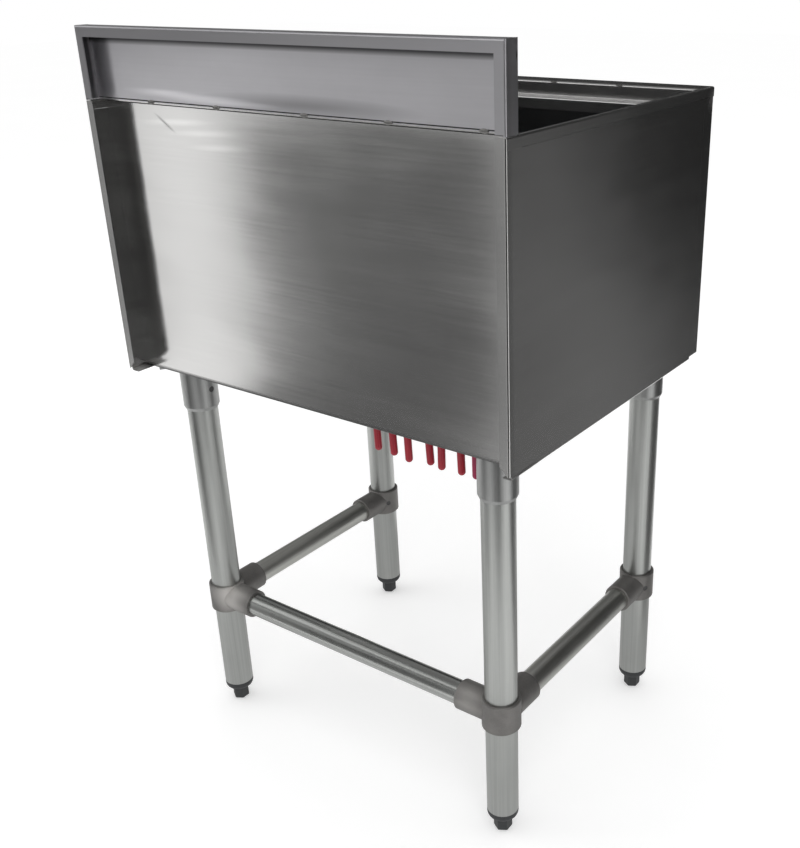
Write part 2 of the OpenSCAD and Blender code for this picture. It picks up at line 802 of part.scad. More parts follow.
module leg(name) {
    color("#9aa19c") at_corner(name) translate([0, 0, leg_end_z])
        tube(leg_od, leg_wall, gusset_z - seam - leg_end_z);
}

// The plug in the end of a leg, with a rounded shoulder and the thread for the foot
module foot_insert(name) {
    shoulder_z = leg_end_z - insert_h;
    plug_r = leg_r - leg_wall - tube_fit;
    color("#45484c") at_corner(name) rotate_extrude() {
        difference() {
            union() {
                translate([0, shoulder_z]) square([leg_r - insert_r, insert_h]);
                translate([0, shoulder_z + insert_r]) square([leg_r, insert_h - insert_r]);
                intersection() {
                    translate([leg_r - insert_r, shoulder_z + insert_r]) circle(insert_r);
                    translate([0, shoulder_z]) square([leg_r, insert_r]);
                }
                translate([0, leg_end_z]) square([plug_r, insert_len]);
            }
            translate([-leg_r, 0]) square([leg_r + stem_d / 2 + tube_fit, leg_end_z + insert_len + 1]);
        }
    }
}

// An adjustable foot: a hexagon with a domed end on a threaded stem
module foot(name) {
    dome_h = 4;
    color("#3f4246") at_corner(name) {
        intersection() {
            cylinder(d = foot_af / cos(30), h = foot_h, $fn = 6);
            union() {
                cylinder(r1 = foot_flat_r, d2 = foot_af / cos(30), h = dome_h);
                translate([0, 0, dome_h]) cylinder(d = foot_af / cos(30), h = foot_h - dome_h);
            }
        }
        translate([0, 0, foot_h]) cylinder(d = stem_d, h = stem_len);
    }
}

// The socket of a collar that points along +X and takes a stretcher
module branch_body() {
    rotate([0, 90, 0]) {
        cylinder(d = branch_od, h = branch_reach - 1);
        translate([0, 0, branch_reach - 1]) cylinder(d1 = branch_od, d2 = branch_od - 2, h = 1);
    }
}

module branch_bore() {
    rotate([0, 90, 0]) translate([0, 0, stretcher_end - seam])
        cylinder(r = stretcher_r + tube_fit, h = branch_reach);
}

// A cast collar with a socket along each of the given directions, in degrees from +X
module collar_body(turns, screw_at) {
    ring_r = collar_od / 2;
    edge = 1.5;
    difference() {
        union() {
            translate([0, 0, edge - collar_h / 2]) cylinder(r = ring_r, h = collar_h - 2 * edge);
            translate([0, 0, -collar_h / 2]) cylinder(r1 = ring_r - edge, r2 = ring_r, h = edge);
            translate([0, 0, collar_h / 2 - edge]) cylinder(r1 = ring_r, r2 = ring_r - edge, h = edge);
            intersection() {
                for (a = turns) rotate(a) branch_body();
                cylinder(r = 2 * branch_reach, h = collar_h, center = true);
            }
        }
        translate([0, 0, -collar_h]) cylinder(r = leg_r + tube_fit, h = 2 * collar_h);
        for (a = turns) rotate(a) branch_bore();
        rotate(screw_at) rotate([0, 90, 0])
            cylinder(d = screw_d + 2 * tube_fit, h = collar_od, $fn = SMALL_FN);
    }
}

// Directions of the stretchers that meet at a corner
function branch_turns(name) =
    is_front(name) ? [90] : is_left(name) ? [0, -90] : [180, -90];

// Direction of a collar's set screw: seen from behind on the front legs, from the front on the others
function screw_dir(name) =
    is_front(name) ? 90 + screw_turn : is_left(name) ? -90 - screw_turn : -90 + screw_turn;

module collar(name) {
    color("#6f6b67") at_corner(name) translate([0, 0, stretcher_z])
        collar_body(branch_turns(name), screw_dir(name));
}

module stretcher_rear() {
    length = 2 * (leg_x - stretcher_end);
    color("#8f9693") translate([-length / 2, leg_rear_y, stretcher_z]) rotate([0, 90, 0])
        tube(stretcher_od, leg_wall, length);
}

module side_stretcher(x) {
    length = leg_rear_y - leg_front_y - 2 * stretcher_end;
    color("#8f9693") translate([x, leg_rear_y - stretcher_end, stretcher_z]) rotate([90, 0, 0])
        tube(stretcher_od, leg_wall, length);
}

module stretcher_left() {
    side_stretcher(-leg_x);
}

module stretcher_right() {
    side_stretcher(leg_x);
}

// A set screw along +X whose inner end bears on the leg, sunk a little into its hole
module set_screw(outer_r) {
    translate([leg_r, 0, 0]) rotate([0, 90, 0])
        cylinder(d = screw_d, h = outer_r - leg_r - screw_recess, $fn = SMALL_FN);
}

module gusset_screws() {
    color("#3c3e40") for (name = CORNERS)
        at_corner(name) translate([0, 0, socket_z + socket_len / 2])
            rotate(is_left(name) ? 0 : 180) set_screw(socket_od / 2);
}

module collar_screws() {
    color("#3c3e40") for (name = CORNERS)
        at_corner(name) translate([0, 0, stretcher_z]) rotate(screw_dir(name)) set_screw(collar_od / 2);
}

top_rim();
backsplash();
splash_end_left();
splash_end_right();
rear_panel();
side_panel_left();
side_panel_right();
front_apron();
bottom_pan();
ice_well();
foam_insulation();
cold_plate();
inlet_lines();
outlet_lines();
line_seal();
drain_fitting();
drain_gasket();
drain_locknut();
drain_strainer();
for (i = [1 : LINE_COUNT]) {
    inlet_cap(i - 1);
    outlet_cap(i - 1);
}
for (name = CORNERS) {
    leg_gusset(name);
    leg(name);
    foot_insert(name);
    foot(name);
    collar(name);
}
stretcher_rear();
stretcher_left();
stretcher_right();
gusset_screws();
collar_screws();
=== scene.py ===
# %% [markdown]
# # A stainless underbar ice bin on tubular legs
# The shape of this bin comes packed from a CAD model, and Blender gives it its looks: the grain of
# brushed sheet, the dull skin of castings, the gloss of vinyl, the weld beads and the threads.
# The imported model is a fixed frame. Every object keeps its origin at the centre of the footprint on
# the floor, with +Z up, and every size is in metres.

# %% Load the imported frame
import json
import math
from typing import NamedTuple

import bmesh
import bpy
from mathutils import Matrix, Vector


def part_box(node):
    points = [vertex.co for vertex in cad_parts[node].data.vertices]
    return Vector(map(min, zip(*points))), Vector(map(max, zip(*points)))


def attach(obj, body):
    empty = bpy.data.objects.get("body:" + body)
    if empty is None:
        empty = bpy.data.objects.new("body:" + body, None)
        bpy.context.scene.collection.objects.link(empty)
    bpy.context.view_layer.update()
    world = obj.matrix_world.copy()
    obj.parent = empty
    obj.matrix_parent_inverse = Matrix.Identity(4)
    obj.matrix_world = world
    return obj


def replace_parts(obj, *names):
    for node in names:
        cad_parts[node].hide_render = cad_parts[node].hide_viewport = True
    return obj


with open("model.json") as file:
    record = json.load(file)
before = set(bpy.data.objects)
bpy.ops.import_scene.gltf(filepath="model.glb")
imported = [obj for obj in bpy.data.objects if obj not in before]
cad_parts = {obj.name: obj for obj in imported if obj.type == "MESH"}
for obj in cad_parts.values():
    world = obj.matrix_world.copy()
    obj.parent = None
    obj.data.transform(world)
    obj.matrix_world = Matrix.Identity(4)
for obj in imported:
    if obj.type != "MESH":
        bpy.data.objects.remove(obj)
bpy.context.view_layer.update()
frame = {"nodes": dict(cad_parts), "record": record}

# %% [markdown]
# ## The camera
# A camera is a point, a direction and a lens. This one looks from behind the bin's left rear corner
# and from above. Its axes are built from three angles, because a rotation matrix made of the right,
# up and backward directions leaves no doubt about the roll. The lens is a focal length in pixels,
# turned into millimetres for the 36 mm sensor along the longer side of the frame.

# %% Camera
IMAGE_WIDTH, IMAGE_HEIGHT = 800, 848
LONG_SIDE = max(IMAGE_WIDTH, IMAGE_HEIGHT)
SENSOR = 36.0
CAMERA_PLACE = (-0.8538, 1.0422, 1.0455)
YAW, PITCH, ROLL = 215.12, 23.83, -1.04
FOCAL_PIXELS = 1063
LENS_CENTRE = (490, 426)


def looking(*angles):
    """The right, up and forward directions of a camera, from yaw, pitch and roll in degrees."""
    yaw, pitch, roll = (math.radians(angle) for angle in angles)
    forward = Vector((-math.sin(yaw) * math.cos(pitch), math.cos(yaw) * math.cos(pitch),
                      -math.sin(pitch)))
    right = forward.cross(Vector((0, 0, 1))).normalized()
    up = right.cross(forward)
    turned_right = right * math.cos(roll) + up * math.sin(roll)
    turned_up = up * math.cos(roll) - right * math.sin(roll)
    return turned_right, turned_up, forward


right, up, forward = looking(YAW, PITCH, ROLL)
camera_data = bpy.data.cameras.new("camera")
camera_data.sensor_width = SENSOR
camera_data.lens = FOCAL_PIXELS * SENSOR / LONG_SIDE
camera_data.shift_x = (IMAGE_WIDTH / 2 - LENS_CENTRE[0]) / LONG_SIDE
camera_data.shift_y = (LENS_CENTRE[1] - IMAGE_HEIGHT / 2) / LONG_SIDE
camera = bpy.data.objects.new("camera", camera_data)
camera_turn = Matrix((right, up, -forward)).transposed().to_4x4()
camera.matrix_world = Matrix.Translation(CAMERA_PLACE) @ camera_turn
bpy.context.scene.collection.objects.link(camera)
bpy.context.scene.camera = camera
bpy.context.scene.view_settings.view_transform = "Standard"
print("lens", round(camera_data.lens, 2), "mm")

# %% [markdown]
# ## Shader maths as Python
# A procedural finish is a small sum: grain plus smears, times a tone. Wired by hand it takes a Math
# node for each sign, so a small class wraps an output socket and lets Python's own operators add
# those nodes.

# %% Socket wrapper
class Signal:
    """An output socket that can be added, multiplied, taken from a number and compared."""

    def __init__(self, tree, socket):
        self.tree = tree
        self.socket = socket

    def maths(self, operation, other, swapped=False):
        node = self.tree.nodes.new("ShaderNodeMath")
        node.operation = operation
        for slot, value in zip(node.inputs, (other, self) if swapped else (self, other)):
            if isinstance(value, Signal):
                self.tree.links.new(value.socket, slot)
            else:
                slot.default_value = value
        return Signal(self.tree, node.outputs[0])

    def __add__(self, other):
        return self.maths("ADD", other)

    def __mul__(self, other):
        return self.maths("MULTIPLY", other)

    def __rsub__(self, other):
        return self.maths("SUBTRACT", other, swapped=True)

    def __gt__(self, other):
        return self.maths("GREATER_THAN", other)


print("sockets can be added and multiplied")

# %% [markdown]
# ## A finish and its patterns
# Every material here is one Principled shader with a few patterns in front of it. Wiring each by
# hand would repeat the same calls dozens of times, so a finish has one method that adds any node,
# setting the node's choices first and its sockets after. The patterns build on it: noise stretched
# along an axis, a curve through given values, a soft spot at a place, a blend of two colours, and
# fine relief.

# %% Finish
SPOT_CORE = 0.2


class Finish:
    """A material with one Principled shader, and the nodes that feed it."""

    def __init__(self, name, **constants):
        self.material = bpy.data.materials.new(name)
        self.material.use_nodes = True
        self.tree = self.material.node_tree
        self.shader = next(n for n in self.tree.nodes if n.type == "BSDF_PRINCIPLED")
        self.set(**constants)
        self.place = self.node("ShaderNodeTexCoord", output="Object")

    def node(self, kind, settings=(), output=0, stops=(), **values):
        """A node with its settings made first, then its sockets, given with _ for a space."""
        node = self.tree.nodes.new(kind)
        for name, value in dict(settings).items():
            setattr(node, name, value)
        for index, (position, shade) in enumerate(stops):
            elements = node.color_ramp.elements
            stop = elements[index] if index < 2 else elements.new(position)
            stop.position = position
            stop.color = (shade, shade, shade, 1)
        for name, value in values.items():
            self.feed(node.inputs[name.replace("_", " ")], value)
        return Signal(self.tree, node.outputs[output])

    def feed(self, socket, value):
        if isinstance(value, Signal):
            self.tree.links.new(value.socket, socket)
        elif socket.type == "RGBA" and len(value) == 3:
            socket.default_value = (*value, 1)
        else:
            socket.default_value = value

    def set(self, **values):
        for name, value in values.items():
            self.feed(self.shader.inputs[name.replace("_", " ")], value)

    def noise(self, cells, detail=2.0, roughness=0.5):
        """Noise from 0 to 1, with its own number of cells in a metre along X, Y and Z."""
        mapped = self.node("ShaderNodeMapping", Vector=self.place, Scale=cells)
        return self.node("ShaderNodeTexNoise", output="Fac", Vector=mapped, Scale=1.0,
                         Detail=detail, Roughness=roughness)

    def curve(self, signal, *stops):
        """The signal through a ramp of (value in, value out) stops."""
        first, last = stops[0][0], stops[-1][0]
        share = self.node("ShaderNodeMapRange", output="Result", Value=signal, From_Min=first,
                          From_Max=last)
        parts = [((value - first) / (last - first), shade) for value, shade in stops]
        return self.node("ShaderNodeValToRGB", output="Color", stops=parts, Fac=share)

    def spot(self, centre, size, turn=(0, 0, 0)):
        """1 in the middle of a turned ellipsoid of this size, falling softly to 0 at its skin."""
        local = self.node("ShaderNodeMapping", {"vector_type": "TEXTURE"}, Vector=self.place,
                          Location=centre, Rotation=turn, Scale=size)
        reach = self.node("ShaderNodeVectorMath", {"operation": "LENGTH"}, output="Value",
                          Vector=local)
        return self.node("ShaderNodeMapRange", output="Result", Value=reach,
                         From_Min=SPOT_CORE, From_Max=1.0, To_Min=1.0, To_Max=0.0)

    def tone(self, dark, light, mask):
        """A colour between two colours, by a mask."""
        node = self.tree.nodes.new("ShaderNodeMix")
        node.data_type = "RGBA"
        colours = [socket for socket in node.inputs if socket.type == "RGBA"]
        self.feed(node.inputs["Factor"], mask)
        self.feed(colours[0], dark)
        self.feed(colours[1], light)
        return Signal(self.tree, next(s for s in node.outputs if s.type == "RGBA"))

    def relief(self, height, strength, distance):
        """Small relief that bends the surface's normal."""
        bump = self.node("ShaderNodeBump", output="Normal", Height=height, Strength=strength,
                         Distance=distance)
        self.feed(self.shader.inputs["Normal"], bump)


def scaled(colour, factor):
    return tuple(channel * factor for channel in colour)


def shades(colour, low, high):
    """A colour made darker and lighter by two factors."""
    return scaled(colour, low), tuple(min(channel, 1) for channel in scaled(colour, high))


print("finishes can be built")

# %% [markdown]
# ## Brushed sheet
# Stainless sheet is rolled and then brushed with a belt, so it carries thousands of hair-thin
# scratches in one direction. On this bin the belt ran level: along the panels and along the rims. A
# noise stretched 70 times along the grain gives such hairs. Faces that look up need the hairs fine
# in Y, upright ones need them fine in Z, and the surface's own normal tells which is which. Hands
# and cleaning cloths leave clouds and level wipes, which change the roughness more than the colour,
# and thin sheet is never quite flat, so a low, wide relief bends what it mirrors. Marks are soft
# spots with a tone and a roughness of their own.

# %% Brushed sheet
GRAIN_FINE = 420
GRAIN_LONG = 6
CLOUDS = (7, 7, 11)
WIPES = (3, 3, 40)
WAVES = (5, 5, 16)
WAVE_HEIGHT = 0.0010
WIPE_SHARE = 0.25
SMEAR = 0.08
WIPE_DULLNESS = 0.7
GRAIN_DULLNESS = 0.1
FACES_UP = 0.5
SHEET_CONTRAST = (0.84, 1.16)


class Mark(NamedTuple):
    """A soft spot: the factor of its tone, the roughness that it adds, and where it lies."""

    shade: float
    rougher: float
    centre: tuple
    size: tuple
    turn: tuple = (0, 0, 0)


def brushed_sheet(name, colour, roughness, hairs=0.22, shade_highlight_and_wear_marks=()):
    finish = Finish(name, Metallic=1.0)
    upright = finish.noise((GRAIN_LONG, GRAIN_LONG, GRAIN_FINE), detail=0.0)
    level = finish.noise((GRAIN_LONG, GRAIN_FINE, GRAIN_LONG), detail=0.0)
    normal = finish.node("ShaderNodeNewGeometry", output="Normal")
    up = finish.node("ShaderNodeSeparateXYZ", output="Z", Vector=normal)
    faces_up = up * up > FACES_UP
    grain = upright * (1 - faces_up) + level * faces_up
    clouds = finish.noise(CLOUDS, detail=4.0, roughness=0.55)
    wipes = finish.noise(WIPES, detail=3.0, roughness=0.6)
    mask = grain * hairs + clouds * (1 - WIPE_SHARE - hairs) + wipes * WIPE_SHARE
    dullness = (clouds * SMEAR + wipes * (SMEAR * WIPE_DULLNESS) + grain * (GRAIN_DULLNESS * hairs)
                + (roughness - SMEAR))
    tint = finish.tone(*shades(colour, *SHEET_CONTRAST), mask)
    # The marks hold painted shade, painted highlights and wear; each tints the tone in its spot and
    # adds its roughness.
    for mark in shade_highlight_and_wear_marks:
        spot = finish.spot(mark.centre, mark.size, mark.turn)
        tint = finish.tone(tint, scaled(colour, mark.shade), spot)
        dullness = dullness + spot * mark.rougher
    finish.set(Base_Color=tint, Roughness=dullness)
    finish.relief(finish.noise(WAVES, detail=1.0), 1.0, WAVE_HEIGHT)
    return finish.material


print("brushed sheet ready")

# %% [markdown]
# ## Drawn tube
# The legs and stretchers are welded tube, polished along their length. Their hairs run down the
# tube, so the same stretched noise is turned to the tube's own axis. Broader bands along it and a
# mottle without direction keep the polish from looking machine-perfect.

# %% Drawn tube
X_AXIS, Y_AXIS, Z_AXIS = range(3)
HAIRS_ACROSS, HAIRS_ALONG = 260, 3
BANDS_ACROSS, BANDS_ALONG = 38, 1.5
MOTTLE = (24, 24, 24)
TUBE_CONTRAST = (0.55, 1.45)


def cells_along(axis, across, along):
    """Cells in a metre: many across a tube and few along it."""
    cells = [across] * 3
    cells[axis] = along
    return cells


def drawn_tube(name, colour, roughness, axis):
    finish = Finish(name, Metallic=1.0)
    hairs = finish.noise(cells_along(axis, HAIRS_ACROSS, HAIRS_ALONG), detail=3.0, roughness=0.65)
    bands = finish.noise(cells_along(axis, BANDS_ACROSS, BANDS_ALONG), detail=2.0)
    mottle = finish.noise(MOTTLE, detail=4.0)
    mask = hairs * 0.55 + bands * 0.3 + mottle * 0.15
    finish.set(Base_Color=finish.tone(*shades(colour, *TUBE_CONTRAST), mask))
    finish.set(Roughness=bands * 0.20 + mottle * 0.08 + hairs * 0.10 + (roughness - 0.18))
    finish.relief(hairs, strength=0.18, distance=0.0002)
    return finish.material


print("drawn tube ready")

# %% [markdown]
# ## Castings
# The collars and the cold plate are cast. A casting keeps the skin of its mould: soft pits and
# grains, duller than rolled metal, with oxide in the hollows. Fine pits, broader lumps and stains,
# each a noise of its own size, are enough. Paler spots on two collars' sockets, where their flares
# catch the light, are painted highlights, each given as a factor of the tone, a place and a size.

# %% Castings
PIT_SIZE = 0.0016
LUMPS_PER_PIT = 6
STAINS = (40, 40, 40)
CAST_CONTRAST = (0.45, 1.55)


def cast_skin(name, colour, roughness, metallic, pit_size=PIT_SIZE, painted_highlights=()):
    finish = Finish(name, Metallic=metallic)
    cells = 1 / pit_size
    pits = finish.noise((cells,) * 3, detail=4.0, roughness=0.7)
    lumps = finish.noise((cells / LUMPS_PER_PIT,) * 3, detail=3.0)
    stain = finish.noise(STAINS, detail=4.0, roughness=0.6)
    tint = finish.tone(*shades(colour, *CAST_CONTRAST), pits * 0.35 + stain * 0.65)
    # Each painted highlight makes the tone paler in a soft spot.
    for shade, place, size in painted_highlights:
        tint = finish.tone(tint, scaled(colour, shade), finish.spot(place, (size,) * 3))
    finish.set(Base_Color=tint)
    finish.set(Roughness=stain * 0.16 + pits * 0.10 + (roughness - 0.12))
    finish.relief(pits * 0.6 + lumps * 0.4, strength=0.45, distance=0.0006)
    return finish.material


print("cast skin ready")

# %% [markdown]
# ## Rubber, vinyl, plastic, foam and small metal
# What isn't sheet, tube or casting is moulded or turned. Each of these has a colour that wanders a
# little and a roughness that shows how it was handled. The protective caps are dipped vinyl: a deep
# red with a thin clear gloss, which a coat over the base gives without making the red itself shiny.

# %% Moulded and turned finishes
MOULDED_CONTRAST = (0.74, 1.26)
COAT_ROUGHNESS = 0.12


def moulded(name, colour, roughness, coat=0.0, scale=60.0, metallic=0.0, relief=0.15):
    finish = Finish(name, Metallic=metallic, Coat_Weight=coat, Coat_Roughness=COAT_ROUGHNESS)
    cloud = finish.noise((scale / 5,) * 3, detail=3.0)
    skin = finish.noise((scale * 12,) * 3, detail=3.0, roughness=0.6)
    mask = cloud * 0.65 + skin * 0.35
    finish.set(Base_Color=finish.tone(*shades(colour, *MOULDED_CONTRAST), mask))
    finish.set(Roughness=cloud * 0.14 + skin * 0.10 + (roughness - 0.12))
    finish.relief(skin, strength=relief, distance=0.0003)
    return finish.material


def dipped_vinyl(name, colour):
    return moulded(name, colour, 0.40, coat=0.20, relief=0.08)


print("moulded finishes ready")

# %% [markdown]
# ## Shade in the folds
# Where a sheet is folded or meets another, light hardly reaches: along the underside of the
# backsplash's flange, at the panel's lower edge, and inside the channel's two ends. The flanges
# that stand out at the rear look darker and duller than the sheets between them. Light alone makes
# this only in part, because the room is bright all round, so these dark spots are painted shade. A
# spot on the backsplash reaches no deeper than the sheet is thick, or it would show on the other
# side.

# %% Shade in the folds
SHEET = 0.0012
SKIN = 0.0003
THIN = 0.0015
FLANGE_DROP = 0.0150
END_DEPTH = 0.012

rim_low, rim_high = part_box("top_rim")
splash_low, splash_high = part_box("backsplash")
panel_low, panel_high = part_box("rear_panel")
SPLASH_FACE_Y = splash_low.y + SHEET


def on_splash(shade, rougher, x, z, half_x, half_z):
    """A mark on the backsplash's rear face."""
    return Mark(shade, rougher, (x, SPLASH_FACE_Y + SKIN, z), (half_x, THIN, half_z))


def on_panel(shade, rougher, x, z, size, slope=0):
    """A mark on the rear panel, turned by a slope in degrees."""
    return Mark(shade, rougher, (x, panel_high.y, z), size, (0, math.radians(slope), 0))


flanges = Mark(0.50, 0.06, (splash_high.x, splash_high.y, 0.75), (0.9, 0.015, 4))
under_flange = on_splash(0.15, 0.0, 0, splash_high.z - FLANGE_DROP, 3, 0.0062)
under_panel = on_panel(0.08, 0.2, 0, panel_low.z, (3, 0.04, 0.0060))
channel_ends = [Mark(0.10, 0.0, (side * splash_high.x, splash_high.y - END_DEPTH, 0.938),
                     (SHEET, END_DEPTH, 0.13))
                for side in (-1, 1)]
print("the channel ends are shaded at x", [round(mark.centre[0], 4) for mark in channel_ends])

# %% [markdown]
# ## Painted highlights and shade, a scratch and ground metal
# Pale, smoother streaks near the rear seam are painted highlights; a dark band low on the backsplash
# is painted shade. A slip of a tool left a scratch, and the grinder a dull patch where a corner was
# welded shut. All could be painted on a picture laid over the sheet; soft spots at their places need
# none.

# %% Painted highlights and shade, and marks of work
# Painted highlights: paler, smoother streaks on the backsplash just above the seam.
painted_splash_highlights = [on_splash(1.18, -0.06, x, rim_high.z + above, half, 0.0042)
                for x, above, half in ((0.19, 0.013, 0.07), (0.14, 0.010, 0.11),
                                       (0.09, 0.0065, 0.10))]
# Painted shade: a dark band low on the backsplash, above the seam.
painted_splash_shade = on_splash(0.60, 0.0, -0.035, rim_high.z + 0.010, 0.17, 0.012)
# Painted highlights: paler, slightly smoother streaks on the rear panel just below the seam.
painted_panel_highlights = [on_panel(1.09, -0.02, x, rim_high.z - below, (half, 0.006, 0.005), slope=3)
               for x, below, half in ((0.18, 0.022, 0.07), (0.12, 0.031, 0.09),
                                      (0.10, 0.046, 0.07))]
panel_scratch = on_panel(0.82, 0.12, 0.200, 0.872, (0.022, 0.02, 0.0024), slope=-32)
ground_corner = Mark(1.0, 0.22, (rim_low.x, rim_low.y, rim_high.z - 0.016), (0.020, 0.020, 0.018))
# Painted highlights: paler spots on two collars' sockets, where their flares catch the light.
painted_socket_highlights = [(2.8, (0.220, 0.180, 0.198), 0.036), (1.8, (-0.206, 0.180, 0.200), 0.030)]
# The count is of the painted highlights on the sheets and of the collars with painted highlights.
print(len(painted_splash_highlights) + len(painted_panel_highlights), "wipes and", len(painted_socket_highlights), "worn sockets")

# %% [markdown]
# ## Giving every CAD node its finish
# The record names a material slot for each node. One dictionary turns a slot into a finish, so no
# kind of surface is forgotten: the loop that dresses the nodes stops if a slot has none.

# %% Finishes by slot
STAINLESS = (0.78, 0.775, 0.765)
TUBE_STEEL = (0.455, 0.465, 0.45)
DULL_TUBE = (0.60, 0.60, 0.57)
PLATE_GREY = (0.52, 0.53, 0.54)

finishes = {
    "stainless_top": brushed_sheet("rim_sheet", STAINLESS, 0.21, shade_highlight_and_wear_marks=[ground_corner]),
    "stainless_panel": brushed_sheet(
        "panel_sheet", STAINLESS, 0.18,
        shade_highlight_and_wear_marks=[flanges, under_panel, *painted_panel_highlights, panel_scratch, ground_corner]),
    "stainless_pan": brushed_sheet("pan_sheet", (0.46, 0.46, 0.46), 0.38),
    # Painted shade: the well's stainless is much darker than the other sheet, for the shade inside
    # the well.
    "stainless_well": brushed_sheet("well_sheet_painted_shade", (0.36, 0.365, 0.37), 0.21),
    "foam": moulded("rigid_foam", (0.72, 0.60, 0.34), 0.9, scale=160, relief=0.5),
    "cast_aluminium_plate": cast_skin("plate_casting", PLATE_GREY, 0.5, 1.0, pit_size=0.0022),
    "line_tube": drawn_tube("line_tube", (0.55, 0.56, 0.57), 0.38, Z_AXIS),
    "seal_rubber": moulded("seal_rubber", (0.045, 0.045, 0.05), 0.65),
    "drain_steel": brushed_sheet("drain_steel", PLATE_GREY, 0.22),
    "nut_brass": moulded("nut_brass", (0.62, 0.46, 0.22), 0.35, metallic=1.0),
    "red_vinyl": dipped_vinyl("red_vinyl", (0.36, 0.008, 0.024)),
    "socket_steel": drawn_tube("socket_steel", (0.40, 0.405, 0.40), 0.36, Z_AXIS),
    "tube_steel": drawn_tube("leg_tube", TUBE_STEEL, 0.36, Z_AXIS),
    "foot_grey": moulded("foot_plastic", (0.034, 0.036, 0.038), 0.55),
    "cast_collar": cast_skin("collar_casting", (0.215, 0.208, 0.20), 0.50, 0.75,
                             painted_highlights=painted_socket_highlights),
    "screw_black": moulded("screw_black", (0.09, 0.09, 0.09), 0.5, metallic=0.6),
}
print(len(finishes), "finishes by slot")

# %% [markdown]
# A few nodes look different from their slot: the stretchers lie along other axes than the legs, so
# their hairs are turned, the backsplash is of a duller sheet than the panels, and the seventh cap's
# red is a little bluer. Each of them gets a finish under its own name.

# %% Nodes with a finish of their own
special = {
    "stretcher_rear": drawn_tube("stretcher_tube_x", TUBE_STEEL, 0.24, X_AXIS),
    "stretcher_left": drawn_tube("stretcher_tube_y", DULL_TUBE, 0.42, Y_AXIS),
    "backsplash": brushed_sheet(
        "splash_sheet", (0.84, 0.83, 0.86), 0.37, hairs=0.10,
        shade_highlight_and_wear_marks=[flanges, under_flange, painted_splash_shade, *channel_ends, *painted_splash_highlights]),
    "inlet_cap_7": dipped_vinyl("newer_vinyl", (0.34, 0.006, 0.062)),
}
special["stretcher_right"] = special["stretcher_left"]
special["splash_end_left"] = special["splash_end_right"] = special["backsplash"]
print(len(special), "nodes with a finish of their own")

# %% [markdown]
# A node is dressed by its material slots alone, which leaves its shape as it was packed. The loop
# goes over the frame's nodes and not over a list of names, so that none is left bare.

# %% Dress the CAD nodes
slot_of = {part["node"]: part["material_slot"] for part in frame["record"]["subparts"]}

for node_name, cad_node in frame["nodes"].items():
    cad_node.data.materials.clear()
    cad_node.data.materials.append(special.get(node_name) or finishes[slot_of[node_name]])
print("dressed", len(frame["nodes"]), "nodes")

# %% [markdown]
# ## Making a piece of one's own
# What the CAD model leaves out is added as a piece: weld metal, joint lines and threads. A piece is
# drawn as a bmesh at its place in the frame, because a piece that is drawn at the origin and moved
# there would no longer lie in the frame. It then rides on the body that carries it, and takes the
# finish of its material slot, unless it is given a material of its own.

# %% New piece
def new_piece(name, form, material_slot, body, material=None):
    """Turns a finished bmesh into a piece that rides on a body."""
    bmesh.ops.recalc_face_normals(form, faces=form.faces)
    mesh = bpy.data.meshes.new(name)
    form.to_mesh(mesh)
    form.free()
    piece = bpy.data.objects.new(name, mesh)
    bpy.context.scene.collection.objects.link(piece)
    mesh.materials.append(material or finishes[material_slot])
    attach(piece, body)
    print(name, "has", len(mesh.polygons), "faces")
    return piece


weld_metal = cast_skin("weld_metal", (0.30, 0.295, 0.285), 0.38, 1.0)
joint_shade = cast_skin("joint_shade", (0.035, 0.035, 0.035), 0.6, 0.3)

# %% [markdown]
# ## Weld tacks
# The backsplash is tacked to the body at five places along the rear seam, and the front rim at two
# more. A tack is a low blob of metal that flowed and froze. It could be painted with bump, but its
# edge catches light from the side, so each one is a small flattened sphere, sunk to its middle in
# the sheet.

# %% Weld tacks
REAR_TACKS = (0.207, 0.0965, -0.0378, -0.1518, -0.2678)
REAR_TACK_SIZE = (0.0056, 0.0014, 0.0024)
REAR_SEAM = (SPLASH_FACE_Y + 0.0004, rim_high.z + 0.0006)
FRONT_TACKS = (-0.097, -0.1935)
FRONT_TACK_SIZE = (0.005, 0.0025, 0.0009)
FRONT_SEAM = (rim_low.y + 0.0385, rim_high.z - 0.0004)


def add_blob(form, place, size):
    made = bmesh.ops.create_uvsphere(form, u_segments=14, v_segments=8, radius=1.0)
    bmesh.ops.scale(form, vec=size, verts=made["verts"])
    bmesh.ops.translate(form, vec=place, verts=made["verts"])
    for face in {face for vert in made["verts"] for face in vert.link_faces}:
        face.smooth = True


tacks = bmesh.new()
for seam, size, places in ((REAR_SEAM, REAR_TACK_SIZE, REAR_TACKS),
                           (FRONT_SEAM, FRONT_TACK_SIZE, FRONT_TACKS)):
    for x in places:
        add_blob(tacks, (x, *seam), size)
new_piece("weld_tacks", tacks, "stainless_top", "bin", weld_metal)

# %% [markdown]
# ## Joint lines
# Where one sheet ends on another, a gap as thin as a hair stays open, and no light comes out of it:
# it shows as a dark line. It could be a groove cut into both sheets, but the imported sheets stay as
# they are. So a dark bar lies along each edge of the rear seam, almost fully sunk in the sheet.

# %% Joint lines
LINE_HEIGHT = 0.0013
LINE_RELIEF = 0.0002
LINE_SINK = 0.0005
LINE_END_GAP = 0.001
SPLASH_LINE_Z = rim_high.z + 0.0010
PANEL_LINE_Z = rim_high.z - 0.0042


def add_bar(form, low, high):
    made = bmesh.ops.create_cube(form, size=1.0)
    bmesh.ops.scale(form, vec=high - low, verts=made["verts"])
    bmesh.ops.translate(form, vec=(low + high) / 2, verts=made["verts"])


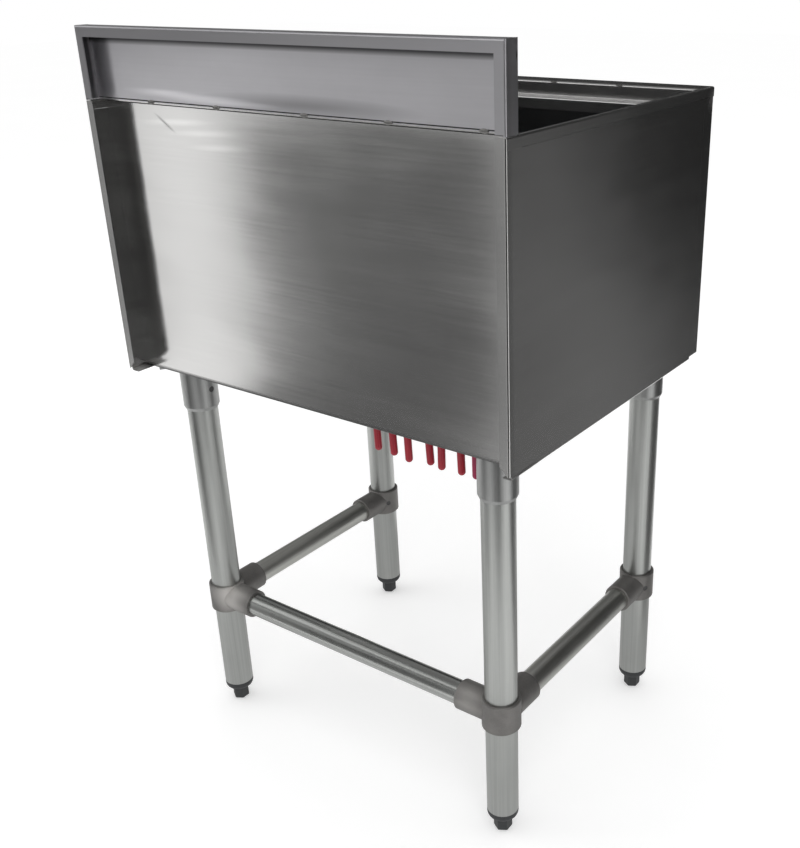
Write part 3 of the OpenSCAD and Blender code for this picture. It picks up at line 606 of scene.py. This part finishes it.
seam_half = panel_high.x - LINE_END_GAP
lines = bmesh.new()
for face_y, line_z in ((SPLASH_FACE_Y, SPLASH_LINE_Z), (panel_high.y, PANEL_LINE_Z)):
    add_bar(lines, Vector((-seam_half, face_y - LINE_SINK, line_z)),
            Vector((seam_half, face_y + LINE_RELIEF, line_z + LINE_HEIGHT)))
new_piece("joint_lines", lines, "stainless_panel", "bin", joint_shade)

# %% [markdown]
# ## Socket welds
# Each leg socket is welded to its gusset plate by a bead that runs round the tube. Spinning a small
# circle about the leg makes a plain ring, and pushing its points in and out along a wave makes the
# ripples that a welder's steps leave.

# %% Socket welds
CORNERS = ("rear_left", "rear_right", "front_left", "front_right")
RIPPLES = 36
STEPS_PER_RIPPLE = 4
RIPPLE_HEIGHT = 0.0003
BEAD_R = 0.0018
BEAD_SIDES = 8
BEAD_SINK = 0.0004
RING_R = 0.024
GUSSET_SHEET = 0.0025
ORIGIN, UP = (0, 0, 0), (0, 0, 1)


def leg_axis(corner):
    low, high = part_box("leg_" + corner)
    return (low.x + high.x) / 2, (low.y + high.y) / 2


def ripple(vert, centre):
    """Pushes a point of the ring outward or inward along the wave."""
    spoke = Vector((vert.co.x - centre[0], vert.co.y - centre[1], 0))
    turn = math.atan2(spoke.y, spoke.x)
    vert.co += spoke.normalized() * RIPPLE_HEIGHT * math.sin(RIPPLES * turn)


for corner in CORNERS:
    x, y = leg_axis(corner)
    _, gusset_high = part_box("leg_gusset_" + corner)
    bead = bmesh.new()
    bmesh.ops.create_circle(bead, segments=BEAD_SIDES, radius=BEAD_R, cap_ends=False)
    bmesh.ops.rotate(bead, cent=ORIGIN, matrix=Matrix.Rotation(math.pi / 2, 3, "X"),
                     verts=bead.verts)
    bmesh.ops.translate(bead, vec=(x + RING_R, y, gusset_high.z - GUSSET_SHEET - BEAD_SINK),
                        verts=bead.verts)
    bmesh.ops.spin(bead, geom=bead.verts[:] + bead.edges[:], cent=(x, y, 0), axis=UP,
                   angle=math.tau, steps=STEPS_PER_RIPPLE * RIPPLES, use_merge=True,
                   use_duplicate=False)
    for vert in bead.verts:
        ripple(vert, (x, y))
    for face in bead.faces:
        face.smooth = True
    new_piece("socket_weld_" + corner, bead, "socket_steel", "bin", weld_metal)

# %% [markdown]
# ## The feet's hexagons
# A foot is a hexagon moulded on a threaded stem. A hexagon could be six planes cut from a block.
# Here it is a circle of six sides, pushed up to its height, with the edges of its two ends rounded,
# as a mould leaves them.

# %% Hexagon
HEX_SIDES = 6
HEX_HEIGHT = 0.020
HEX_SHARE = 0.82
HEX_BEVEL = 0.0022
BEVEL_STEPS = 3
TINY = 1e-6


def is_level(edge):
    return abs(edge.verts[0].co.z - edge.verts[1].co.z) < TINY


def hexagon(low, high, centre):
    """The hexagonal head, a share of the CAD foot's width, rounded along its level edges."""
    head = bmesh.new()
    bmesh.ops.create_circle(head, cap_ends=True, segments=HEX_SIDES, radius=1.0)
    widest = max(abs(vert.co.x) for vert in head.verts)
    size = HEX_SHARE * (high.x - low.x) / 2 / widest
    bmesh.ops.scale(head, vec=(size, size, size), verts=head.verts)
    made = bmesh.ops.extrude_face_region(head, geom=head.faces[:])
    upper = [item for item in made["geom"] if isinstance(item, bmesh.types.BMVert)]
    bmesh.ops.translate(head, vec=(0, 0, HEX_HEIGHT), verts=upper)
    bmesh.ops.translate(head, vec=(*centre, low.z), verts=head.verts)
    bmesh.ops.bevel(head, geom=[edge for edge in head.edges if is_level(edge)],
                    offset=HEX_BEVEL, segments=BEVEL_STEPS, profile=0.5, affect="EDGES",
                    material=-1)
    return head


print("hexagons are", HEX_HEIGHT * 1000, "mm high")

# %% [markdown]
# ## Threaded feet
# The CAD foot has a plain stem, because a thread would cost the solid thousands of faces, so a
# fuller foot replaces it. The stem is a zigzag profile spun round the leg's axis: rings look like a
# thread at this size, and close neatly at both ends.

# %% Threaded feet
THREAD_PITCH = 0.00175
THREAD_DEPTH = 0.0009
STEM_R = 0.006
STEM_SINK = 0.001
SPIN_STEPS = 32


def thread_profile(start, end):
    """Points of (radius, height) that zigzag up the stem."""
    root_r = STEM_R - THREAD_DEPTH
    points = [(0.0, start), (root_r, start)]
    while start + THREAD_PITCH < end - THREAD_PITCH:
        points += [(root_r, start + 0.1 * THREAD_PITCH), (STEM_R, start + 0.5 * THREAD_PITCH)]
        start += THREAD_PITCH
    return points + [(root_r, start), (root_r - THREAD_DEPTH, end), (0.0, end)]


def add_spun(form, profile, centre):
    """Spins (radius, height) points about an upright axis and merges the poles."""
    verts = [form.verts.new((centre[0] + radius, centre[1], height)) for radius, height in profile]
    edges = [form.edges.new(pair) for pair in zip(verts, verts[1:])]
    bmesh.ops.spin(form, geom=verts + edges, cent=(*centre, 0), axis=UP, angle=math.tau,
                   steps=SPIN_STEPS, use_merge=True, use_duplicate=False)
    bmesh.ops.remove_doubles(form, verts=form.verts, dist=TINY)


for corner in CORNERS:
    low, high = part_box("foot_" + corner)
    centre = leg_axis(corner)
    foot = hexagon(low, high, centre)
    add_spun(foot, thread_profile(low.z + HEX_HEIGHT - STEM_SINK, high.z), centre)
    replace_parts(new_piece("threaded_foot_" + corner, foot, "foot_grey", "foot_" + corner),
                "foot_" + corner)

# %% [markdown]
# ## Floor, light and the room that the metal mirrors
# Polished metal has hardly any colour of its own and shows what stands around it, so the room is
# part of the finish. All of it is built from flat faces that only stage the bin.

# %% Stage planes
def rectangle(x, y, z):
    """A face between (low, high) along two of the axes, and at one place along the third."""
    corners = []
    for picks in ((0, 0), (1, 0), (1, 1), (0, 1)):
        pick = iter(picks)
        corners.append([side[next(pick)] if isinstance(side, tuple) else side
                        for side in (x, y, z)])
    return corners


def stage_plane(name, material, *faces):
    form = bmesh.new()
    for corners in faces:
        form.faces.new([form.verts.new(corner) for corner in corners])
    mesh = bpy.data.meshes.new(name)
    form.to_mesh(mesh)
    form.free()
    plane = bpy.data.objects.new(name, mesh)
    bpy.context.scene.collection.objects.link(plane)
    mesh.materials.append(material)
    return plane


print("stage planes ready")

# %% [markdown]
# The lamps and the sky light the bin at a plain level. The white of the picture's background comes
# from the floor's and the sky's own materials: a Light Path node lets only the eye and the mirror
# see them as white, so they add no light to the bin, and the floor keeps its shadow.

# %% Floor and sky
SKY_LIGHT = 0.80
FLOOR_GLOW = 0.24
FLOOR_SIDE = (-14, 14)
BLACK, WHITE = (0, 0, 0), (1, 1, 1)
FLOOR_TONES = (0.93, 0.93, 0.93), (0.95, 0.95, 0.95)


def seen_or_mirrored(tree):
    """1 for rays of the camera, of mirrors and of glass, 0 for rays that gather light."""
    path = tree.nodes.new("ShaderNodeLightPath")
    kinds = [Signal(tree, path.outputs[name])
             for name in ("Is Camera Ray", "Is Glossy Ray", "Is Transmission Ray")]
    return sum(kinds[1:], kinds[0]).maths("MINIMUM", 1.0)


floor_paint = Finish("floor_white", Roughness=0.9, Specular_IOR_Level=0.0)
floor_paint.set(Base_Color=floor_paint.tone(*FLOOR_TONES, floor_paint.noise((2, 2, 2))))
glow = seen_or_mirrored(floor_paint.tree) * FLOOR_GLOW
floor_paint.set(Emission_Color=floor_paint.tone(BLACK, WHITE, glow), Emission_Strength=1.0)
stage_plane("floor", floor_paint.material, rectangle(FLOOR_SIDE, FLOOR_SIDE, 0.0))

world = bpy.data.worlds.new("studio")
bpy.context.scene.world = world
world.use_nodes = True
sky = world.node_tree
background = next(node for node in sky.nodes if node.type == "BACKGROUND")
background.inputs["Color"].default_value = (*WHITE, 1)
strength = seen_or_mirrored(sky) * (1 - SKY_LIGHT) + SKY_LIGHT
sky.links.new(strength.socket, background.inputs["Strength"])
print("sky lights at", SKY_LIGHT, "and the floor glows at", FLOOR_GLOW)

# %% [markdown]
# Two large square lamps, a stronger one at the camera's side and a weaker one across from it, give
# the shadow a direction. Small lamps would draw hard shadows that such a picture doesn't have.

# %% Soft lamps
LAMP_TARGET = Vector((0, 0, 0.6))


def soft_lamp(name, place, size, power):
    lamp_data = bpy.data.lights.new(name, "AREA")
    lamp_data.shape = "SQUARE"
    lamp_data.size = size
    lamp_data.energy = power
    lamp = bpy.data.objects.new(name, lamp_data)
    lamp.location = place
    lamp.rotation_euler = (LAMP_TARGET - Vector(place)).to_track_quat("-Z", "Y").to_euler()
    bpy.context.scene.collection.objects.link(lamp)
    print(name, "gives", power, "W")


soft_lamp("key_lamp", (-2.2, 2.4, 3.0), 2.2, 30)
soft_lamp("fill_lamp", (2.6, 1.2, 2.2), 2.0, 12)

# %% [markdown]
# ## Boards
# Boards give the metal something to mirror. Only reflections see them, so they never stand in a
# view, cast no shadow and shed no light. Following a ray from the camera to a panel and on, as off
# a mirror, tells where a board must stand and how bright it must be there. Each board's brightness
# follows stops along one direction, as pairs of a distance and a brightness.

# %% Board
ALONG_X, ALONG_Y, ALONG_Z = (1, 0, 0), (0, 1, 0), UP
ROOM_LEFT, ROOM_RIGHT = -8, 9
ROOM_FRONT, ROOM_REAR = -16, 8
ROOM_TOP = 7
ABOVE_FLOOR = 0.002
DARK = 0.018


def board(name, faces, along, *stops):
    """Faces whose brightness follows (distance, brightness) stops measured along a direction."""
    paint = Finish(name + "_paint", Base_Color=BLACK, Roughness=1.0, Specular_IOR_Level=0.0)
    parts = paint.node("ShaderNodeSeparateXYZ", Vector=paint.place)
    x, y, z = (Signal(paint.tree, socket) for socket in parts.socket.node.outputs)
    distance = x * along[0] + y * along[1] + z * along[2]
    shade = paint.curve(distance, *stops)
    paint.set(Emission_Color=paint.tone(BLACK, WHITE, shade), Emission_Strength=1.0)
    plane = stage_plane(name, paint.material, *faces)
    plane.visible_camera = False
    plane.visible_diffuse = False
    plane.visible_shadow = False
    plane.visible_transmission = False
    print(name, "has", len(stops), "stops")


# %% [markdown]
# Behind the bin stands a wall that turns from grey to white at its far end: the rear panel mirrors
# its lower part, the backsplash the part above, and the flanges and the rim what is higher still.

# %% Boards behind the bin
WALL_Y = 1.15
WALL_LEFT, WALL_RIGHT = -0.35, 4
SPLASH_VIEW_Z = 0.75
FLANGE_VIEW_Z = 0.92

board("rear_wall",
      [rectangle((WALL_LEFT, WALL_RIGHT), WALL_Y, (0, SPLASH_VIEW_Z)),
       rectangle((0.1, WALL_RIGHT), (0.6, WALL_Y), ABOVE_FLOOR)],
      ALONG_X, (0.28, 0.42), (0.36, 0.28), (0.42, 0.10), (0.8, 0.12), (1.05, 0.17), (1.11, 0.25),
      (1.18, 1.0), (1.59, 1.0), (1.63, 0.06), (4, 0.10))
board("rear_wall_top",
      [rectangle((WALL_LEFT, WALL_RIGHT), WALL_Y, (SPLASH_VIEW_Z, FLANGE_VIEW_Z))],
      ALONG_X, (0.28, 0.58), (0.9, 0.68), (1.5, 0.92), (1.6, 0.16), (4, 0.10))
board("above_rear_wall",
      [rectangle((WALL_LEFT, ROOM_RIGHT), WALL_Y, (FLANGE_VIEW_Z, ROOM_TOP))],
      ALONG_Z, (0.9, 0.08), (1.35, 0.06), (1.45, 1.0), (2.2, 1.0), (2.6, 0.3), (7, 0.2))

# %% [markdown]
# The side panel mirrors the floor at the bin's left. The floor must be dark where the panel's front
# end mirrors it, and lighter where its rear end does. Three strips let the brightness change with
# the height on the panel as well: its top mirrors the farthest strip and its foot the nearest. The
# floor at the left rear corner is dark, as far as the wall's end.

# %% Boards beside the bin
ACROSS_SIDE_FLOOR = (-1.55, 1, 0)
SIDE_FLOOR_X = (ROOM_LEFT, -0.5)
SIDE_FLOORS = {
    "side_floor_far": ((ROOM_FRONT, -3.4),
                       ((-1.4, 0.018), (-1.0, 0.018), (-0.5, 0.02), (-0.1, 0.032), (0.05, 0.07),
                        (0.2, 0.13), (0.45, 0.15), (0.7, 0.085), (3, 0.085))),
    "side_floor_middle": ((-3.4, -2.2),
                          ((-1.4, 0.022), (-0.5, 0.032), (-0.2, 0.038), (0, 0.07), (0.2, 0.12),
                           (0.5, 0.115), (0.8, 0.105), (3, 0.10))),
    "side_floor_near": ((-2.2, -0.15),
                        ((-1.4, 0.03), (-0.5, 0.048), (-0.1, 0.068), (0.2, 0.145), (0.5, 0.13),
                         (0.8, 0.11), (3, 0.14))),
}
LEFT_CORNER = ((ROOM_LEFT, 0.70), (-0.62, 0.70), (WALL_LEFT, 1.10), (WALL_LEFT, ROOM_REAR),
               (ROOM_LEFT, ROOM_REAR))

for name, (strip_y, stops) in SIDE_FLOORS.items():
    board(name, [rectangle(SIDE_FLOOR_X, strip_y, ABOVE_FLOOR)], ACROSS_SIDE_FLOOR, *stops)
board("left_corner_floor", [[(x, y, ABOVE_FLOOR) for x, y in LEFT_CORNER]],
      ALONG_Y, (0.75, DARK), (8, DARK))

# %% [markdown]
# The other walls close the room. The rim mirrors a dark wall in front of the bin, and the tubes a
# dull floor between the legs. A bright window at the bin's left draws the light line down the
# rounded corner where the rear panel and the side panel meet.

# %% Boards that close the room
FRONT_WALL_Y = -3
WINDOW_X = -1.6

board("floor_by_legs", [rectangle((-0.5, 0.7), (-0.45, 0.45), ABOVE_FLOOR)],
      ALONG_Y, (-0.45, 0.50), (0.45, 0.72))
board("far_walls",
      [rectangle(ROOM_LEFT, (ROOM_FRONT, ROOM_REAR), (0, ROOM_TOP)),
       rectangle((ROOM_LEFT, 0.2), ROOM_FRONT, (0, ROOM_TOP)),
       rectangle((ROOM_LEFT, WALL_LEFT), ROOM_REAR, (0, ROOM_TOP))],
      ALONG_Z, (0, DARK), (7, 0.06))
board("front_wall", [rectangle((0.3, ROOM_RIGHT), FRONT_WALL_Y, (0, ROOM_TOP))],
      ALONG_Z, (0, 0.2), (0.7, 0.2), (0.85, 0.08), (1.25, 0.02), (2.0, 0.03), (2.8, 0.2),
      (3.5, 0.3))
board("ceiling", [rectangle((ROOM_LEFT, ROOM_RIGHT), (ROOM_FRONT, ROOM_REAR), ROOM_TOP)],
      ALONG_Y, (-16, 0.02), (-1.6, 0.05), (-1.2, 0.25), (8, 0.30))
board("window", [rectangle(WINDOW_X, (0.3, 0.9), (0, 1.5))], ALONG_Z, (0, 0.7), (1.5, 1.0))
